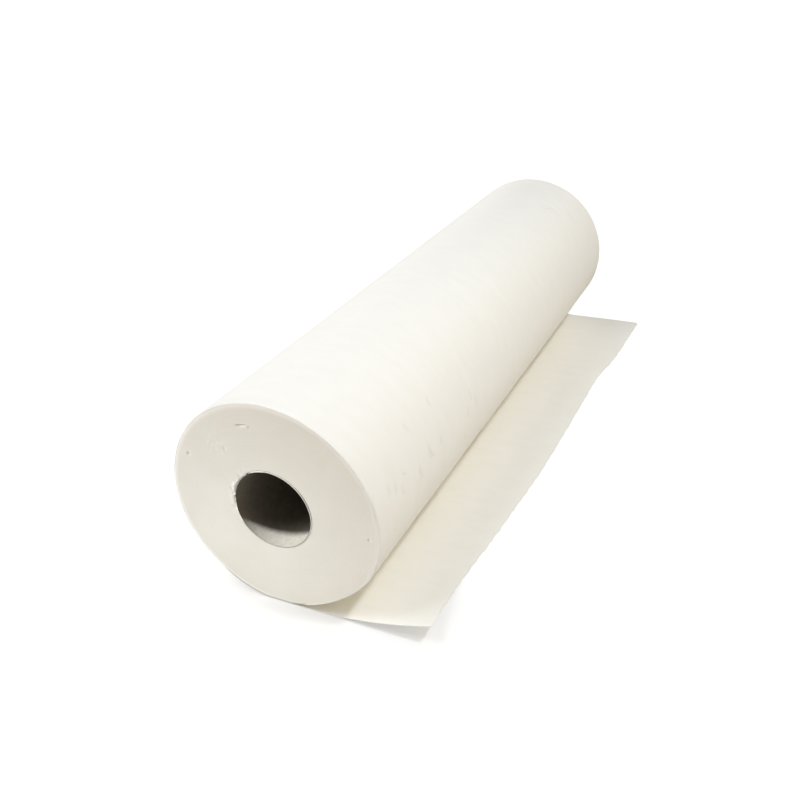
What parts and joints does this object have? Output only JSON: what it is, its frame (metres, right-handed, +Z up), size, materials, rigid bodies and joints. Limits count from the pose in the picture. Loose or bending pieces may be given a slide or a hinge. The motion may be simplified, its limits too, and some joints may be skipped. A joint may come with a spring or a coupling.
{
  "type": "examination couch roll",
  "caption": "Roll of white two-ply couch paper on a cardboard core, lying on its side with the loose end run out and its torn corner lifted.",
  "frame": {"origin": "on the table under the middle of the core, on the roll's flat spot", "axes": "+Y along the core away from the lifted corner, +X the way the loose end runs out, +Z up from the table"},
  "size_m": [0.1816, 0.5, 0.14],
  "materials": {
    "couch_paper": "creped, matt",
    "core_board": "spiral wound, matt"
  },
  "bodies": {
    "root": {"paper_roll": "couch_paper", "core_tube": "core_board"}
  },
  "joints": []
}
